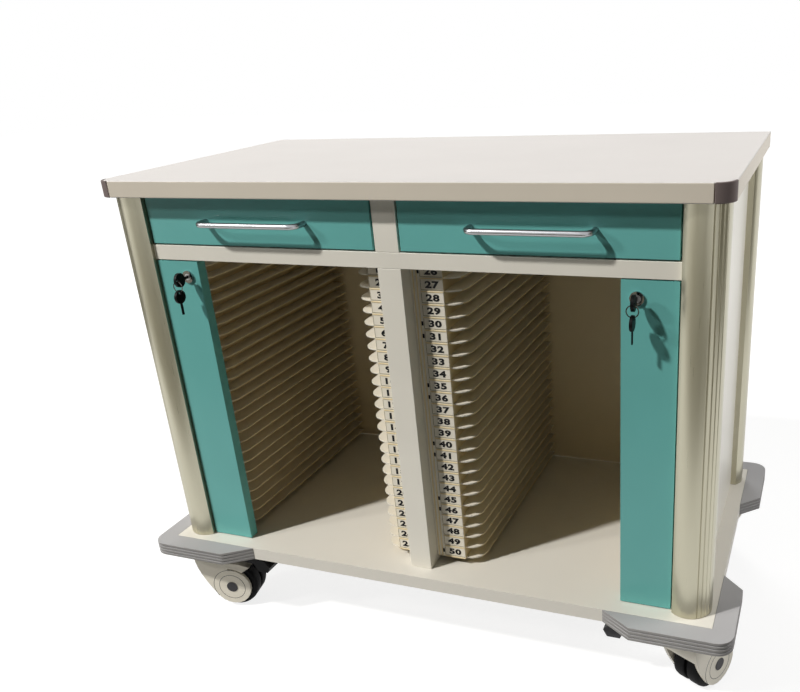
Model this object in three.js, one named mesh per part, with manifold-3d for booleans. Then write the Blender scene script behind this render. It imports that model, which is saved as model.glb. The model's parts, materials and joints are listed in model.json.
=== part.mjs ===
// A wheeled chart trolley: a worktop over two drawers and two bays of chart slots, with a keyed lock bar
// beside each bay. Millimetres, +Z up. The origin is on the floor under the middle of the trolley,
// +X is to the right and -Y is the front.
import * as THREE from "three";
import { mergeVertices } from "three/addons/utils/BufferGeometryUtils.js";
import Module from "manifold-3d";

const wasm = await Module();
wasm.setup();

// Boards and heights
const boardWidth = 1064;
const boardDepth = 567;
const casterHeight = 150;
const baseThickness = 25;
const bayHeight = 564;
const railHeight = 26;
const drawerSpace = 86;
const topThickness = 28;
const frontSetback = 30;
const backSetback = 37;
const seatGap = 0.3;
const sheet = 1.5;

// Worktop corner caps
const capRadius = 27;
const capThickness = 4;

// Corner posts: round bars with two flats and a band of grooves on the outer diagonal
const postRadius = 37;
const postFlat = 26;
const postSideInset = 7;
const postFrontInset = 13;
const postGrooveCount = 4;
const postGrooveSpacing = 12;
const postGrooveWidth = 2.4;
const postGrooveDepth = 1.5;
const postStep = 10;

// Panels, rail and partitions
const sidePanelInset = 28;
const sidePanelThickness = 43;
const backThickness = 1.5;
const railDepth = 29;
const railWall = 2;
const deckThickness = 1.5;
const dividerWidth = 41.5;
const dividerWall = 1.5;

// Corner bumpers
const bumperReach = 36;
const bumperCorner = 28;
const bumperFrontArm = 182;
const bumperFrontTaper = 52;
const bumperSideArm = 155;
const bumperSideTaper = 36;
const bumperRibs = 4;
const bumperGrooveHeight = 1.8;
const bumperGrooveDepth = 2;

// Slot panels
const slotCount = 25;
const slotLift = 13.5;
const slotHeadroom = 0.5;
const slotFrontSetback = 30;
const slotBackGap = 6;
const slotWall = 2.5;
const innerSlotStands = { left: 36.25, right: 57.25 };
const outerSlotStand = 43;
const runnerReach = 31;
const runnerRound = 27;
const runnerThickness = 2.4;
const runnerSetback = 4;

// Drawers
const drawerGap = 3.5;
const drawerGapBelow = 2.5;
const drawerGapAbove = 3;
const drawerFrontDepth = 18;
const trayLift = 6;
const trayHeight = 62;
const trayLength = 420;
const slideThickness = 12.7;
const slideHeight = 24;
const slideClearance = 0.5;
const tongueHeight = 8;
const tongueReach = 10;
const handleCentres = 192;
const handleReach = 35;
const handleBarRadius = 5;
const handleBend = 14;

// Lock bars and their pivots
const lockBarWidth = 85;
const lockBarDepth = 20;
const lockBarGap = 2.8;
const lockBarEndGap = 2;
const pivotInset = 6.5;
const pivotSetback = 5;
const pivotRadius = 3;
const pivotReach = 7;
const pivotClearance = 0.3;
const pivotBlock = 9;

// Locks and keys
const lockInset = 24;
const lockDrop = 29;
const lockFlangeRadius = 11;
const lockFlangeThickness = 3;
const barrelRadius = 9.3;
const barrelLength = 15;
const nutRadius = 13;
const nutThickness = 3;
const plugRadius = 6;
const plugClearance = 0.3;
const camLength = 19;
const camWidth = 12;
const camThickness = 2.5;
const camSetback = 26;
const keeperWidth = 26;
const keeperThickness = 2;
const keeperSetback = 22.75;
const keeperDrop = 15;
const keyBowLength = 24;
const keyBowWidth = 25;
const keyBowThickness = 5;
const keyBowSetback = 9;
const keyHoleInset = 5;
const keyHoleRadius = 3.2;
const keyBladeWidth = 5;
const keyBladeThickness = 2.2;
const keyBladeLength = 20;
const keyBladeRoot = 6;
const ringRadius = 9;
const ringWire = 0.9;
const ringClearance = 0.9;

// Casters
const casterSideInset = 42;
const casterEndInset = 50.5;
const casterTrail = 40;
const wheelRadius = 50;
const tyreWidth = 54;
const tyreShoulder = 7;
const tyreGroove = 8;
const tyreGrooveDepth = 9;
const hubRadius = 16;
const hubWidth = 58;
const axleRadius = 6;
const wheelSides = 24;
const swivelPlateRadius = 34;
const swivelPlateThickness = 6;
const spindleRadius = 12;
const spindleLength = 24;
const hoodWidth = 72;
const hoodCheek = 6.5;
const hoodClearance = 3;
const hoodDisc = 40;
const hoodDiscStart = 215;
const hoodSlit = 3;
const hoodSlitStart = 413;
const hoodSlitEnd = 455;
const hoodFront = 32;
const hoodBack = 34;
const hoodTipReach = 85;
const hoodShoulderReach = 62;
const hoodFrontDrop = 30;
const hoodCornerRise = 33;
const hoodMouthRise = 34;
const hoodTipRise = 48;
const hoodShoulderRise = 55;
const hoodStepRise = 57;
const casterAngles = { front_left: 12, front_right: 62, rear_left: 30, rear_right: 150 };

// Brake pedals on brackets of the two front casters, pointing at each other
const bracketStart = 20;
const bracketReach = 70;
const bracketEar = 6;
const pedalStart = 62;
const pedalDip = 1.65;
const pedalHub = 7;
const pedalWidth = 44;
const pedalLength = 84;
const pedalPad = 30;
const pedalPadDrop = 26;
const pedalRoot = 21;
const pedalNeck = 9.8;
const pedalCrest = 28;
const pedalTip = 10;
const pedalPin = 3;

// Facets of the round shapes, and how far a shape that cuts or joins runs past the face
const cornerSteps = 6;
const runnerSteps = 5;
const pinSides = 16;
const rodSides = 20;
const plateSides = 24;
const handleSides = 10;
const handleSteps = 40;
const bowSides = 16;
const keyHoleSides = 10;
const nutSides = 6;
const ringSides = 6;
const ringSteps = 24;
const hoodSteps = 14;
const slitSteps = 3;
const hoodRoomSides = 28;
const overrun = 1;

// Heights and planes that follow from these
const baseTop = casterHeight + baseThickness;
const railBottom = baseTop + bayHeight;
const railTop = railBottom + railHeight;
const topBottom = railTop + drawerSpace;
const topTop = topBottom + topThickness;
const halfWidth = boardWidth / 2;
const halfDepth = boardDepth / 2;
const frontFace = frontSetback - halfDepth;
const backFace = halfDepth - backSetback;
const postX = halfWidth - postSideInset - postRadius;
const postY = halfDepth - postFrontInset - postRadius;
const postInner = postX - postFlat;
const postRear = postY - postFlat;
const sidePanelOuter = halfWidth - sidePanelInset;
const sidePanelInner = sidePanelOuter - sidePanelThickness;
const dividerHalf = dividerWidth / 2;
const slotBottom = baseTop + slotLift;
const slotPitch = (bayHeight - slotLift - slotHeadroom) / slotCount;
const slotTop = slotBottom + slotCount * slotPitch;
const slotFront = frontFace + slotFrontSetback;
const slotBack = backFace - slotBackGap;
const outerSlotWall = sidePanelInner - outerSlotStand;
const lockBarOuter = postInner - lockBarGap;
const lockBarInner = lockBarOuter - lockBarWidth;
const lockBarBottom = baseTop + lockBarEndGap;
const lockBarTop = railBottom - lockBarEndGap;
const pivotX = lockBarOuter - pivotInset;
const pivotY = frontFace + pivotSetback;
const lockX = lockBarInner + lockInset;
const lockZ = railBottom - lockDrop;
const casterX = halfWidth - casterSideInset;
const casterY = halfDepth - casterEndInset;

// Finishes
const finishes = {
  board: { color: 0xe6e0d2, roughness: 0.55, metalness: 0 },
  cap: { color: 0x6e6462, roughness: 0.6, metalness: 0 },
  post: { color: 0xc4bfae, roughness: 0.35, metalness: 0.85 },
  panel: { color: 0xd9d4c6, roughness: 0.5, metalness: 0 },
  bumper: { color: 0xa0a0a2, roughness: 0.65, metalness: 0 },
  slots: { color: 0xddd8c8, roughness: 0.5, metalness: 0 },
  teal: { color: 0x559e98, roughness: 0.4, metalness: 0 },
  steel: { color: 0xb9bbbd, roughness: 0.35, metalness: 0.9 },
  chrome: { color: 0xd8dadc, roughness: 0.12, metalness: 1 },
  key: { color: 0x101012, roughness: 0.45, metalness: 0 },
  hood: { color: 0xcdc6b4, roughness: 0.45, metalness: 0 },
  tyre: { color: 0x17171a, roughness: 0.75, metalness: 0 },
  pedal: { color: 0x2c2a2e, roughness: 0.7, metalness: 0 },
};

const trolley = new THREE.Group();
const sides = { left: -1, right: 1 };
const corners = {
  front_left: [-1, -1],
  front_right: [1, -1],
  rear_left: [-1, 1],
  rear_right: [1, 1],
};

// A closed geometry as a solid that can be joined and cut
function solid(geometry) {
  const bare = geometry.clone();
  bare.deleteAttribute("normal");
  bare.deleteAttribute("uv");
  const merged = mergeVertices(bare, 1e-4);
  const vertProperties = merged.attributes.position.array;
  const triVerts = new Uint32Array(merged.index.array);
  return new wasm.Manifold(new wasm.Mesh({ numProp: 3, vertProperties, triVerts }));
}

// A named mesh made from a solid, added to its parent group
function piece(name, made, finish, parent = trolley) {
  const { vertProperties, triVerts } = made.getMesh();
  const geometry = new THREE.BufferGeometry();
  geometry.setAttribute("position", new THREE.BufferAttribute(vertProperties, 3));
  geometry.setIndex(new THREE.BufferAttribute(triVerts, 1));
  geometry.computeVertexNormals();
  const mesh = new THREE.Mesh(geometry, new THREE.MeshStandardMaterial(finishes[finish]));
  mesh.name = name;
  parent.add(mesh);
}

// A box between two limits on each axis, in either order
function block([x0, x1], [y0, y1], [z0, z1]) {
  const geometry = new THREE.BoxGeometry(Math.abs(x1 - x0), Math.abs(y1 - y0), Math.abs(z1 - z0));
  geometry.translate((x0 + x1) / 2, (y0 + y1) / 2, (z0 + z1) / 2);
  return solid(geometry);
}

// An outline in plan, raised from one height to another
function prism(points, [z0, z1]) {
  const shape = new THREE.Shape(points);
  const geometry = new THREE.ExtrudeGeometry(shape, { depth: z1 - z0, bevelEnabled: false });
  geometry.translate(0, 0, z0);
  return solid(geometry);
}

// An outline in the XZ plane, given a width along Y that is centred on the plane
function plate(points, width, middle = 0) {
  const shape = new THREE.Shape(points);
  const geometry = new THREE.ExtrudeGeometry(shape, { depth: width, bevelEnabled: false });
  geometry.rotateX(Math.PI / 2);
  geometry.translate(0, middle + width / 2, 0);
  return solid(geometry);
}

// A round bar along Y or Z through a point, between two limits on that axis
function rod(axis, [a, b], [low, high], radius, count = rodSides) {
  const geometry = new THREE.CylinderGeometry(radius, radius, high - low, count);
  if (axis === "z") {
    geometry.rotateX(Math.PI / 2);
    geometry.translate(a, b, (low + high) / 2);
  } else {
    geometry.translate(a, (low + high) / 2, b);
  }
  return solid(geometry);
}

function point(x, y) {
  return new THREE.Vector2(x, y);
}

// A point at an angle in degrees around a centre
function around(x, y, radius, degrees) {
  const angle = THREE.MathUtils.degToRad(degrees);
  return point(x + radius * Math.cos(angle), y + radius * Math.sin(angle));
}

// Points along an arc, angles in degrees
function arc(x, y, radius, from, to, steps) {
  const points = [];
  for (let i = 0; i <= steps; i += 1) {
    points.push(around(x, y, radius, from + ((to - from) * i) / steps));
  }
  return points;
}

// The corners of a many-sided ring about the origin
function ring(radius, count) {
  return arc(0, 0, radius, 0, 360 - 360 / count, count - 1);
}

// The same outline in another quarter of the plan
function mirrored(points, sx, sy) {
  return points.map((p) => point(sx * p.x, sy * p.y));
}

// Worktop and its two front corner caps
function worktop() {
  const seat = capThickness + seatGap;
  const capX = halfWidth - capRadius;
  const capY = halfDepth - capRadius;
  const corner = [
    point(capX, halfDepth),
    point(capX, halfDepth - seat),
    ...arc(capX, capY, capRadius - seat, 90, 0, cornerSteps),
    point(halfWidth - seat, capY),
    point(halfWidth, capY),
  ];
  const outline = [
    ...mirrored(corner, 1, -1),
    point(halfWidth, halfDepth),
    point(-halfWidth, halfDepth),
    ...mirrored(corner, -1, -1).reverse(),
  ];
  piece("top_panel", prism(outline, [topBottom, topTop]), "board");
  const turn = THREE.MathUtils.radToDeg(seatGap / (capRadius - capThickness));
  const cap = [
    ...arc(capX, capY, capRadius, 90 - turn, turn, cornerSteps),
    ...arc(capX, capY, capRadius - capThickness, turn, 90 - turn, cornerSteps),
  ];
  for (const [side, sx] of Object.entries(sides)) {
    piece(`top_cap_${side}`, prism(mirrored(cap, sx, -1), [topBottom, topTop]), "cap");
  }
}

// One post outline: the round part with its grooves, closed by the two flats
function postOutline() {
  const end = THREE.MathUtils.radToDeg(Math.acos(-postFlat / postRadius));
  const start = 90 - end;
  const half = THREE.MathUtils.radToDeg(postGrooveWidth / 2 / postRadius);
  const first = 45 - (postGrooveSpacing * (postGrooveCount - 1)) / 2;
  const points = [];
  let from = start;
  for (let i = 0; i < postGrooveCount; i += 1) {
    const angle = first + i * postGrooveSpacing;
    const steps = Math.max(1, Math.round((angle - from) / postStep));
    points.push(...arc(postX, postY, postRadius, from, angle - half, steps));
    points.push(around(postX, postY, postRadius - postGrooveDepth, angle));
    from = angle + half;
  }
  const steps = Math.round((end - from) / postStep);
  points.push(...arc(postX, postY, postRadius, from, end, steps));
  points.push(point(postInner, postRear));
  return points;
}

function posts() {
  const outline = postOutline();
  for (const [corner, [sx, sy]] of Object.entries(corners)) {
    const height = [baseTop + seatGap, topBottom - seatGap];
    piece(`post_${corner}`, prism(mirrored(outline, sx, sy), height), "post");
  }
}

// Base board, with a socket for the foot of each lock bar's pivot
function base() {
  let board = block([-halfWidth, halfWidth], [-halfDepth, halfDepth], [casterHeight, baseTop]);
  for (const sx of Object.values(sides)) {
    const depth = [baseTop - pivotReach - pivotClearance, baseTop + overrun];
    const socket = rod("z", [sx * pivotX, pivotY], depth, pivotRadius + pivotClearance, pinSides);
    board = board.subtract(socket);
  }
  piece("base_panel", board, "board");
}

// Corner bumper outline, standing out from the base board by a given reach
function bumperOutline(reach) {
  const innerX = halfWidth + seatGap;
  const innerY = halfDepth + seatGap;
  const outerX = halfWidth + reach;
  const outerY = halfDepth + reach;
  const armX = halfWidth - bumperFrontArm;
  const armY = halfDepth - bumperSideArm;
  return [
    point(innerX, innerY),
    point(armX, innerY),
    point(armX + bumperFrontTaper, outerY),
    ...arc(outerX - bumperCorner, outerY - bumperCorner, bumperCorner, 90, 0, cornerSteps),
    point(outerX, armY + bumperSideTaper),
    point(innerX, armY),
  ];
}

function bumpers() {
  const core = bumperOutline(bumperReach - bumperGrooveDepth);
  const rib = bumperOutline(bumperReach);
  const ribHeight = (baseThickness - (bumperRibs - 1) * bumperGrooveHeight) / bumperRibs;
  for (const [corner, [sx, sy]] of Object.entries(corners)) {
    let bumper = prism(mirrored(core, sx, sy), [casterHeight, baseTop]);
    for (let i = 0; i < bumperRibs; i += 1) {
      const low = casterHeight + i * (ribHeight + bumperGrooveHeight);
      bumper = bumper.add(prism(mirrored(rib, sx, sy), [low, low + ribHeight]));
    }
    piece(`bumper_${corner}`, bumper, "bumper");
  }
}

// Side walls as hollow double skins between the posts, and the back sheet
function walls() {
  const reach = postRear - seatGap;
  const height = [baseTop + seatGap, topBottom - seatGap];
  for (const [side, sx] of Object.entries(sides)) {
    const skin = block([sx * sidePanelInner, sx * sidePanelOuter], [-reach, reach], height);
    const inside = [sx * (sidePanelInner + sheet), sx * (sidePanelOuter - sheet)];
    const hollow = block(inside, [sheet - reach, reach - sheet], [baseTop, topBottom]);
    piece(`side_panel_${side}`, skin.subtract(hollow), "panel");
  }
  const width = postInner - seatGap;
  piece("back_panel", block([-width, width], [backFace, backFace + backThickness], height), "panel");
}

// Front rail: a channel open below, with a pivot block at each end and a keeper for each lock cam
function frontRail() {
  const width = postInner - seatGap;
  const depth = [frontFace, frontFace + railDepth];
  const inside = [frontFace + railWall, frontFace + railDepth - railWall];
  let rail = block([-width, width], depth, [railBottom, railTop]);
  const hollow = [railBottom - overrun, railTop - railWall];
  rail = rail.subtract(block([-width - overrun, width + overrun], inside, hollow));
  const keeperBack = frontFace + keeperSetback;
  for (const sx of Object.values(sides)) {
    const span = [sx * (pivotX - pivotBlock), sx * width];
    const seat = [frontFace, pivotY + pivotBlock];
    const post = block(span, seat, [railBottom, railBottom + pivotReach + pivotBlock]);
    const depthOfHole = [railBottom - overrun, railBottom + pivotReach + pivotClearance];
    const hole = rod("z", [sx * pivotX, pivotY], depthOfHole, pivotRadius + pivotClearance, pinSides);
    rail = rail.add(post.subtract(hole));
    const keeper = [sx * (lockX - keeperWidth / 2), sx * (lockX + keeperWidth / 2)];
    const lip = [keeperBack - keeperThickness, keeperBack];
    rail = rail.add(block(keeper, lip, [railBottom - keeperDrop, railTop - railWall / 2]));
  }
  piece("front_rail", rail, "board");
}

// Drawer deck over the bays, and the folded partitions between the drawers and between the bays
function partitions() {
  const width = sidePanelInner - seatGap;
  const deckDepth = [frontFace + railDepth + seatGap, backFace - seatGap];
  const deckHeight = [railBottom, railBottom + deckThickness];
  piece("drawer_deck", block([-width, width], deckDepth, deckHeight), "panel");
  const depth = [frontFace, backFace - seatGap];
  const inner = dividerHalf - dividerWall;
  const heights = {
    drawer_partition: [railTop + seatGap, topBottom - seatGap],
    centre_divider: [baseTop + seatGap, railBottom - seatGap],
  };
  for (const [name, [low, high]] of Object.entries(heights)) {
    const skin = block([-dividerHalf, dividerHalf], depth, [low, high]);
    const room = [frontFace + dividerWall, backFace];
    const hollow = block([-inner, inner], room, [low - overrun, high + overrun]);
    piece(name, skin.subtract(hollow), "board");
  }
}

// A moulded slot panel: a channel with its label face in front, and a rounded runner under each slot.
// The wall's distance from the middle, the back edge it stands on, and which way its runners point.
function slotPanel(name, sx, wall, back, way) {
  const inner = wall - way * slotWall;
  const channel = [
    point(back, slotFront),
    point(wall, slotFront),
    point(wall, slotBack),
    point(back, slotBack),
    point(back, slotBack - slotWall),
    point(inner, slotBack - slotWall),
    point(inner, slotFront + slotWall),
    point(back, slotFront + slotWall),
  ];
  const root = wall - (way * slotWall) / 2;
  const front = slotFront + runnerSetback;
  const bend = arc(runnerReach - runnerRound, front + runnerRound, runnerRound, -90, 0, runnerSteps);
  const runner = [
    point(root, front),
    ...bend.map((p) => point(wall + way * p.x, p.y)),
    point(wall + way * runnerReach, slotBack - slotWall),
    point(root, slotBack - slotWall),
  ];
  let panel = prism(mirrored(channel, sx, 1), [slotBottom, slotTop]);
  for (let i = 0; i < slotCount; i += 1) {
    const low = slotBottom + i * slotPitch;
    panel = panel.add(prism(mirrored(runner, sx, 1), [low, low + runnerThickness]));
  }
  piece(name, panel, "slots");
}

function slotPanels() {
  for (const [side, sx] of Object.entries(sides)) {
    const innerWall = dividerHalf + innerSlotStands[side];
    slotPanel(`slot_panel_${side}_inner`, sx, innerWall, dividerHalf + seatGap, 1);
    slotPanel(`slot_panel_${side}_outer`, sx, outerSlotWall, sidePanelInner - seatGap, -1);
  }
}

// A drawer's folded front, its tray with a tongue on each side, its bow handle and its two fixed slides
function drawer(side, sx) {
  const front = [dividerHalf + drawerGap, postInner - drawerGap];
  const height = [railTop + drawerGapBelow, topBottom - drawerGapAbove];
  const frontBack = frontFace + drawerFrontDepth;
  const pan = block([sx * front[0], sx * front[1]], [frontFace, frontBack], height);
  const panInside = block(
    [sx * (front[0] + sheet), sx * (front[1] - sheet)],
    [frontFace + sheet, frontBack + overrun],
    [height[0] + sheet, height[1] - sheet],
  );
  piece(`drawer_front_${side}`, pan.subtract(panInside), "teal");

  const depth = [frontBack + seatGap, frontBack + seatGap + trayLength];
  const bottom = railTop + trayLift;
  const top = bottom + trayHeight;
  const middle = (bottom + top) / 2;
  const stand = seatGap + slideThickness + slideClearance;
  const span = [dividerHalf + stand, sidePanelInner - stand];
  let tray = block([sx * span[0], sx * span[1]], depth, [bottom, top]);
  const trayInside = block(
    [sx * (span[0] + sheet), sx * (span[1] - sheet)],
    [depth[0] + sheet, depth[1] - sheet],
    [bottom + sheet, top + overrun],
  );
  const tongue = [middle - tongueHeight / 2, middle + tongueHeight / 2];
  tray = tray.add(block([sx * (span[0] - tongueReach), sx * (span[1] + tongueReach)], depth, tongue));
  piece(`drawer_tray_${side}`, tray.subtract(trayInside), "panel");

  const groove = [tongue[0] - seatGap, tongue[1] + slideClearance];
  const slideSpan = [middle - slideHeight / 2, middle + slideHeight / 2];
  const slides = {
    inner: [dividerHalf + seatGap, 1],
    outer: [sidePanelInner - seatGap, -1],
  };
  for (const [place, [wall, way]] of Object.entries(slides)) {
    const mouth = wall + way * slideThickness;
    const floor = mouth - way * (tongueReach + slideClearance);
    const rail = block([sx * wall, sx * mouth], depth, slideSpan);
    const run = [depth[0] - overrun, depth[1] + overrun];
    const slot = block([sx * floor, sx * (mouth + way * overrun)], run, groove);
    piece(`drawer_slide_${side}_${place}`, rail.subtract(slot), "steel");
  }
  handle(side, (sx * (front[0] + front[1])) / 2, (height[0] + height[1]) / 2);
}

// A bow handle: a round bar bent back to the drawer front at both ends
function handle(side, x, z) {
  const left = x - handleCentres / 2;
  const right = x + handleCentres / 2;
  const foot = frontFace - seatGap;
  const bar = frontFace - handleReach + handleBarRadius;
  const at = (px, py) => new THREE.Vector3(px, py, z);
  const legLeft = at(left, bar + handleBend);
  const barLeft = at(left + handleBend, bar);
  const barRight = at(right - handleBend, bar);
  const legRight = at(right, bar + handleBend);
  const path = new THREE.CurvePath();
  path.add(new THREE.LineCurve3(at(left, foot), legLeft));
  path.add(new THREE.QuadraticBezierCurve3(legLeft, at(left, bar), barLeft));
  path.add(new THREE.LineCurve3(barLeft, barRight));
  path.add(new THREE.QuadraticBezierCurve3(barRight, at(right, bar), legRight));
  path.add(new THREE.LineCurve3(legRight, at(right, foot)));
  const section = new THREE.Shape(ring(handleBarRadius, handleSides));
  const geometry = new THREE.ExtrudeGeometry(section, { extrudePath: path, steps: handleSteps });
  piece(`drawer_handle_${side}`, solid(geometry), "steel");
}

// A lock bar: a folded pan with a pivot pin at each end, and the lock in it with its key
function lockBar(side, sx) {
  const height = [lockBarBottom, lockBarTop];
  const depth = [frontFace, frontFace + lockBarDepth];
  let bar = block([sx * lockBarInner, sx * lockBarOuter], depth, height);
  bar = bar.subtract(
    block(
      [sx * (lockBarInner + sheet), sx * (lockBarOuter - sheet)],
      [frontFace + sheet, depth[1] + overrun],
      [height[0] + sheet, height[1] - sheet],
    ),
  );
  const pins = [
    [baseTop - pivotReach, height[0] + sheet],
    [height[1] - sheet, railBottom + pivotReach],
  ];
  for (const span of pins) {
    bar = bar.add(rod("z", [sx * pivotX, pivotY], span, pivotRadius, pinSides));
  }
  const at = [sx * lockX, lockZ];
  const hole = barrelRadius + plugClearance;
  bar = bar.subtract(rod("y", at, [frontFace - overrun, frontFace + sheet + overrun], hole));
  piece(`lock_bar_${side}`, bar, "teal");

  const face = frontFace - seatGap;
  const plugFace = face - lockFlangeThickness;
  const barrelEnd = frontFace + barrelLength;
  const nut = frontFace + sheet + seatGap;
  const bore = [plugFace - overrun, barrelEnd + overrun];
  const barrel = rod("y", at, [plugFace, face], lockFlangeRadius)
    .add(rod("y", at, [plugFace, barrelEnd], barrelRadius))
    .add(rod("y", at, [nut, nut + nutThickness], nutRadius, nutSides))
    .subtract(rod("y", at, bore, plugRadius + plugClearance));
  piece(`lock_barrel_${side}`, barrel, "chrome");

  const camFront = frontFace + camSetback;
  const cam = block(
    [sx * (lockX - camLength), sx * (lockX + plugRadius)],
    [camFront, camFront + camThickness],
    [lockZ - camWidth / 2, lockZ + camWidth / 2],
  );
  const keyway = block(
    [at[0] - keyBladeThickness / 2 - seatGap, at[0] + keyBladeThickness / 2 + seatGap],
    [plugFace - overrun, plugFace + keyBladeLength],
    [lockZ - keyBladeWidth / 2 - seatGap, lockZ + keyBladeWidth / 2 + seatGap],
  );
  const plug = rod("y", at, [plugFace, camFront + camThickness], plugRadius).add(cam).subtract(keyway);
  piece(`lock_plug_${side}`, plug, "steel");
  keys(side, at[0], plugFace);
}

// A flat key lying in the YZ plane with its bow hole at the origin and its blade along +Y
function flatKey(bladeLength) {
  const bowMiddle = keyBowLength / 2 - keyHoleInset;
  const bow = ring(1, bowSides).map((p) => {
    return point(bowMiddle + (p.x * keyBowLength) / 2, (p.y * keyBowWidth) / 2);
  });
  const shape = new THREE.Shape(bow);
  shape.holes.push(new THREE.Path(ring(keyHoleRadius, keyHoleSides).reverse()));
  const head = new THREE.ExtrudeGeometry(shape, { depth: keyBowThickness, bevelEnabled: false });
  head.translate(0, 0, -keyBowThickness / 2);
  const bowEnd = keyBowLength - keyHoleInset;
  const blade = block(
    [bowEnd - keyBladeRoot, bowEnd + bladeLength],
    [-keyBladeWidth / 2, keyBladeWidth / 2],
    [-keyBladeThickness / 2, keyBladeThickness / 2],
  );
  return solid(head).add(blade);
}

// The key in the lock, the ring through its bow and the spare key that hangs on the ring
function keys(side, x, plugFace) {
  const holeY = plugFace - keyBowSetback - keyBowLength + keyHoleInset;
  const bladeInLock = keyBladeLength - seatGap * 2;
  const upright = new THREE.Group();
  upright.position.set(x, holeY, lockZ);
  upright.rotation.set(Math.PI / 2, 0, Math.PI / 2, "ZYX");
  trolley.add(upright);
  piece(`key_${side}`, flatKey(keyBowSetback + bladeInLock), "key", upright);

  const wireSeat = keyHoleRadius - ringWire - ringClearance;
  const ringMiddle = lockZ - wireSeat - ringRadius;
  const loop = new THREE.TorusGeometry(ringRadius, ringWire, ringSides, ringSteps);
  loop.rotateX(Math.PI / 2);
  loop.translate(x, holeY, ringMiddle);
  piece(`key_ring_${side}`, solid(loop), "chrome");

  const hanging = new THREE.Group();
  hanging.position.set(x, holeY, ringMiddle - ringRadius - wireSeat);
  hanging.rotation.set(0, Math.PI / 2, 0);
  trolley.add(hanging);
  piece(`spare_key_${side}`, flatKey(keyBladeLength), "key", hanging);
}

// The hooded fork in its own frame: swivel axis at the origin, wheel trailing along +X.
// A slit parts the round cheek from the visor over the wheel.
function casterFork() {
  const top = casterHeight - seatGap * 2 - swivelPlateThickness;
  const nose = new THREE.QuadraticBezierCurve(
    point(-hoodFront, casterHeight - hoodFrontDrop),
    point(-hoodFront, wheelRadius + hoodCornerRise),
    around(casterTrail, wheelRadius, hoodDisc, hoodDiscStart),
  );
  const outline = [
    point(-hoodFront, top),
    ...nose.getPoints(cornerSteps),
    ...arc(casterTrail, wheelRadius, hoodDisc, hoodDiscStart, hoodSlitEnd, hoodSteps).slice(1),
    ...arc(casterTrail, wheelRadius, hoodDisc + hoodSlit, hoodSlitEnd, hoodSlitStart, slitSteps),
    point(hoodTipReach, wheelRadius + hoodTipRise),
    point(hoodShoulderReach, wheelRadius + hoodShoulderRise),
    point(hoodBack, wheelRadius + hoodStepRise),
    point(hoodBack, top),
  ];
  const cavity = hoodWidth - 2 * hoodCheek;
  const room = wheelRadius + hoodClearance;
  const axle = [casterTrail, wheelRadius];
  const reach = [-cavity / 2, cavity / 2];
  const socket = [top - spindleLength, top + overrun];
  return plate(outline, hoodWidth)
    .subtract(rod("y", axle, reach, room, hoodRoomSides))
    .subtract(block([-hoodFront - overrun, casterTrail], reach, [0, wheelRadius + hoodMouthRise]))
    .subtract(rod("z", [0, 0], socket, spindleRadius + seatGap))
    .add(rod("y", axle, [reach[0] - overrun, reach[1] + overrun], axleRadius));
}

// The wheel turned about its axle, with a flat of its many-sided tread on the floor
function casterWheel() {
  const swell = 1 / Math.cos(Math.PI / wheelSides);
  const outer = wheelRadius * swell;
  const bore = (axleRadius + seatGap) * swell;
  const half = tyreWidth / 2;
  const hub = hubWidth / 2;
  const profile = [
    point(bore, -hub),
    point(hubRadius, -hub),
    point(hubRadius, -half),
    point(outer - tyreShoulder, -half),
    point(outer, tyreShoulder - half),
    point(outer, -tyreGroove / 2),
    point(outer - tyreGrooveDepth, -tyreGroove / 2),
    point(outer - tyreGrooveDepth, tyreGroove / 2),
    point(outer, tyreGroove / 2),
    point(outer, half - tyreShoulder),
    point(outer - tyreShoulder, half),
    point(hubRadius, half),
    point(hubRadius, hub),
    point(bore, hub),
    point(bore, -hub),
  ];
  const geometry = new THREE.LatheGeometry(profile, wheelSides);
  geometry.rotateY(Math.PI / wheelSides);
  geometry.translate(casterTrail, 0, wheelRadius);
  return solid(geometry);
}

// A pedal turns a little below the middle of the space between the hood and the plate over it
function pedalHeight(top) {
  return (wheelRadius + hoodStepRise + top - swivelPlateThickness) / 2 - pedalDip;
}

// The bracket that carries a brake pedal, reaching from a swivel plate toward the middle of the trolley
function pedalBracket([x, y], way, top) {
  const ear = pedalWidth / 2 + seatGap;
  const reach = [x + way * bracketStart, x + way * bracketReach];
  const earHalf = bracketReach - pedalStart;
  const earSpan = [x + way * (pedalStart - earHalf), x + way * (pedalStart + earHalf)];
  const hub = [x + way * pedalStart, pedalHeight(top)];
  const width = [y - ear - bracketEar, y + ear + bracketEar];
  let bracket = block(reach, width, [top - swivelPlateThickness, top]);
  for (const sy of [-1, 1]) {
    const span = [y + sy * ear, y + sy * (ear + bracketEar)];
    bracket = bracket.add(block(earSpan, span, [hub[1] - pedalHub, top]));
  }
  const bore = [width[0] - overrun, width[1] + overrun];
  return bracket.subtract(rod("y", hub, bore, pedalPin + seatGap, pinSides));
}

// A brake pedal with its hinge pin, sloping down to its tip
function brakePedal([x, y], way, top) {
  const hubZ = pedalHeight(top);
  const pad = pedalLength - pedalPad;
  const outline = [
    ...arc(0, hubZ, pedalHub, 90, 270, cornerSteps),
    point(pedalRoot, hubZ - pedalHub),
    point(pad - pedalHub, hubZ - pedalNeck),
    point(pad, hubZ - pedalPadDrop),
    point(pedalLength - pedalHub, hubZ - pedalPadDrop),
    point(pedalLength, hubZ - pedalPadDrop / 2),
    point(pedalLength - pedalTip, hubZ),
    point(pedalCrest, hubZ + pedalHub),
  ];
  const hub = x + way * pedalStart;
  const placed = outline.map((p) => point(hub + way * p.x, p.y));
  const pin = pedalWidth / 2 + seatGap + bracketEar;
  const hinge = rod("y", [hub, hubZ], [y - pin, y + pin], pedalPin, pinSides);
  return plate(placed, pedalWidth, y).add(hinge);
}

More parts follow.
